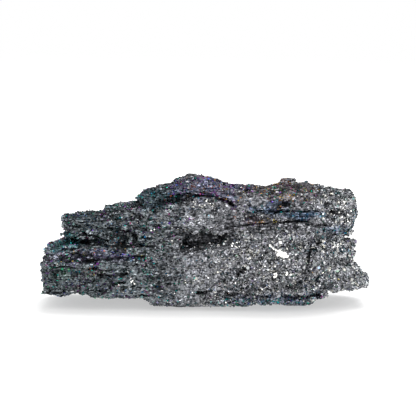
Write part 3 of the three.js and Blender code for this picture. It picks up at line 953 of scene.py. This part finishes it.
FINISHES = {  # roughness, brightness, size, then the colours along the chart
    "silver": (0.18, 1.6, 1.05, ((0.85, 0.85, 0.86), (0.97, 0.95, 0.86), (0.93, 0.92, 0.88))),
    "dark": (0.25, 1.5, 0.95, (
        (0.08, 0.12, 0.16), (0.07, 0.14, 0.14), (0.14, 0.13, 0.19), (0.08, 0.13, 0.1),
    )),
    "teal": (0.22, 2.4, 0.66, (
        (0.03, 0.1, 0.36), (0.03, 0.22, 0.42), (0.02, 0.47, 0.45), (0.03, 0.45, 0.28), (0.1, 0.34, 0.08),
    )),
    "violet": (0.22, 2.4, 0.64, (
        (0.05, 0.09, 0.42), (0.18, 0.07, 0.46), (0.36, 0.07, 0.4), (0.48, 0.06, 0.2), (0.14, 0.12, 0.45),
    )),
    "bronze": (0.22, 2.4, 0.62, (
        (0.5, 0.08, 0.05), (0.75, 0.26, 0.06), (0.8, 0.52, 0.12), (0.42, 0.38, 0.1),
    )),
    "tinted": (0.24, 1.5, 0.9, (
        (0.24, 0.34, 0.5), (0.22, 0.42, 0.44), (0.3, 0.42, 0.34), (0.38, 0.3, 0.48), (0.24, 0.36, 0.52),
    )),
    "steel": (0.24, 1.5, 1.0, (
        (0.57, 0.59, 0.64), (0.62, 0.61, 0.62), (0.57, 0.61, 0.62), (0.62, 0.6, 0.64),
    )),
}
GROWTHS = {  # First and Last are its shapes
    "plates": {
        "Gap": 0.42 * MM, "Density": 16.0e6, "Seed": 5, "Size": 0.92, "Disorder": 0.22, "Upright": 0.9,
        "Stand": -0.05, "First": 0, "Last": 2,
    },
    "blades": {
        "Gap": 0.36 * MM, "Density": 16.0e6, "Seed": 6, "Size": 0.85, "Disorder": 1.1, "Upright": 0.05,
        "Stand": 0.0, "First": 3, "Last": 6,
    },
}
standing = exposed * (z > CRYSTALS_LOWEST) * (1 - soft_step(parted, 0.2, 0.55))
COVER = {
    "plates": (0.75 - 0.35 * fields["left_dark"]) * bedded * standing,
    "blades": (lumpy + 0.22 * bedded) * standing,
}
CUTS = {"steel_plates": (-8,), "steel_blades": (24,)}  # the x where a finish is parted, to keep pieces small
growth = crystal_tree()
materials = {}
for finish, (roughness, brightness, size, colours) in FINISHES.items():
    materials[finish] = crystal_finish(finish + "_crystal", colours, roughness)
for kind, settings in GROWTHS.items():
    reached = np.zeros(len(place))
    for finish, (roughness, brightness, size, colours) in FINISHES.items():
        own = {"Size": size * settings["Size"], "Brightness": brightness, "Finish": materials[finish]}
        sides = (-FAR, *CUTS.get(f"{finish}_{kind}", ()), FAR)
        for number, (left, right) in enumerate(zip(sides, sides[1:])):
            seedbed = seedbed_mesh.copy()
            store(seedbed, "density", COVER[kind] * ((x >= left) & (x < right)))
            store(seedbed, "share_from", reached)
            store(seedbed, "share_to", reached + weights[finish])
            crystals = linked(f"{finish}_{kind}" + (f"_{number + 1}" if len(sides) > 2 else ""), seedbed)
            grown = grow_on(crystals, growth, {**settings, **own})
            drop_fields(grown)
            put_points(grown, vertices_mm(grown))
            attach(crystals, "root")
        reached = reached + weights[finish]

# ------------ the cleavage faces
# A few larger crystals broke along their cleavage and left flat bright faces up to 2.3 mm across, which
# lie in clusters and all face about the same way. They are bare metal-bright crystal with no skin.
GLINTS = (  # in the front: the middle (x, z), half width and height, slope, how many, width, disorder
    ((22.7, 21.3), (1.6, 0.35), -0.6, 10, 1, 0.06),
    ((25.3, 19.6), (1.7, 0.7), -0.4, 18, 1.8, 0.05),
    ((43, 20.7), (1.6, 1.6), 0, 18, 0.7, 0.2),
    ((38.5, 23.6), (1, 0.8), 0, 6, 0.6, 0.2),
    ((27.4, 13), (0.9, 0.6), 0, 7, 0.75, 0.15),
    ((23.1, 12.6), (0.5, 1), 0, 6, 0.7, 0.15),
    ((10.5, 22), (1.8, 1), 0, 10, 0.5, 0.2),
    ((43, 33.4), (5.5, 3.2), 0, 34, 0.6, 0.22),
    ((46, 30), (1.6, 2.2), 0, 12, 0.6, 0.2),
    ((0.5, 35.4), (4.5, 1.1), -0.1, 18, 0.55, 0.22),
    ((-22.9, 9.8), (2, 1.2), 0, 8, 0.5, 0.2),
    ((-28.2, 8.1), (1.2, 0.8), 0, 5, 0.5, 0.2),
    ((-16.5, 26.4), (1.5, 0.4), 0, 5, 0.5, 0.2),
    ((20, 15), (14, 8), 0, 60, 0.5, 0.25),
)
GLINT_LIE = (0.19, -0.87, 0.45)
GLINT_WIDTHS = (0.6, 1.3)  # of their cluster's width
GLINT_THICKNESS = 0.3
GLINT_STAND = 0.15  # how far their middles stand off the surface
spots, across, lies = [], [], []
for (mid_x, mid_z), (half_x, half_z), slope, count, wide, stray in GLINTS:
    for _ in range(count):
        turn = rng.uniform(0, 2 * math.pi)
        away = math.sqrt(rng.uniform(0, 1))
        dx = half_x * away * math.cos(turn)
        start = Vector((mid_x + dx, -FAR, mid_z + slope * dx + half_z * away * math.sin(turn)))
        struck, facing, face, reach = rough_body.ray_cast(start, Vector((0, 1, 0)))
        if struck is None:
            continue
        spots.append(struck - Vector((0, GLINT_STAND, 0)))
        across.append(wide * rng.uniform(*GLINT_WIDTHS))
        lies.append(np.array(GLINT_LIE) + rng.normal(0, stray, 3))
bare = {"Metallic": 1.0, "Roughness": 0.2, "Base_Color": (0.93, 0.92, 0.88, 1)}
bright_finish, tree, shader = principled("bare_cleavage", **bare)
thick = np.full(len(spots), GLINT_THICKNESS)
glints = sheets_at("cleavage_faces", spots, across, thick, lies, bright_finish)
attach(glints, "root")

# ------------ floor and light
# A plain white floor that glows a little, as a light table does, and plain soft studio light from a
# white room. A ring of dark cloth round the table gives the metal something dark to mirror. All in metres.
FLOOR_HALF = 15
FLOOR_WHITE = (0.54, 0.54, 0.54, 1)
FLOOR_GLOW = 0.46
RING_RADIUS = 1.6
RING_HEIGHTS = (0.03, 1.3)
RING_SIDES = 48
RING_BLACK = (0.02, 0.02, 0.02, 1)
WHITE = (1, 1, 1, 1)
LIT = Vector((0, 0, 0.02))  # what the lamps point at
MATT = {"Roughness": 1.0, "Specular_IOR_Level": 0.0}

floor_mesh = bpy.data.meshes.new("floor")
corners = [(FLOOR_HALF * side, FLOOR_HALF * back, 0) for side, back in ((-1, -1), (1, -1), (1, 1), (-1, 1))]
floor_mesh.from_pydata(corners, [], [(0, 1, 2, 3)])
glowing = {"Base_Color": FLOOR_WHITE, "Emission_Color": WHITE, "Emission_Strength": FLOOR_GLOW}
floor_mesh.materials.append(principled("white_floor", **MATT, **glowing)[0])
floor = linked("floor", floor_mesh)

ring_mesh = bpy.data.meshes.new("dark_ring")
turns = [2 * math.pi * i / RING_SIDES for i in range(RING_SIDES)]
circle = [(RING_RADIUS * math.cos(turn), RING_RADIUS * math.sin(turn)) for turn in turns]
corners = [(*corner, height) for height in RING_HEIGHTS for corner in circle]
nexts = [(i, (i + 1) % RING_SIDES) for i in range(RING_SIDES)]
ring_mesh.from_pydata(corners, [], [(i, after, RING_SIDES + after, RING_SIDES + i) for i, after in nexts])
ring_mesh.materials.append(principled("dark_cloth", **MATT, Base_Color=RING_BLACK)[0])
ring = linked("dark_ring", ring_mesh)
ring.visible_camera = False
ring.visible_diffuse = False
ring.visible_shadow = False

world = bpy.data.worlds.new("studio")
world.use_nodes = True
feed(world.node_tree, world.node_tree.nodes["Background"], Color=WHITE, Strength=1.0)
bpy.context.scene.world = world
bpy.context.scene.view_settings.view_transform = "Standard"


def lamp(name, at, size, power):
    data = bpy.data.lights.new(name, "AREA")
    data.shape = "DISK"
    data.size = size
    data.energy = power
    made = linked(name, data)
    made.location = at
    made.rotation_euler = (LIT - Vector(at)).to_track_quat("-Z", "Y").to_euler()
    return made


lamp("key", (0.12, 0.34, 0.68), 0.6, 7).visible_glossy = False
lamp("soft_box", (0.45, -0.85, 0.95), 1.1, 8).visible_diffuse = False
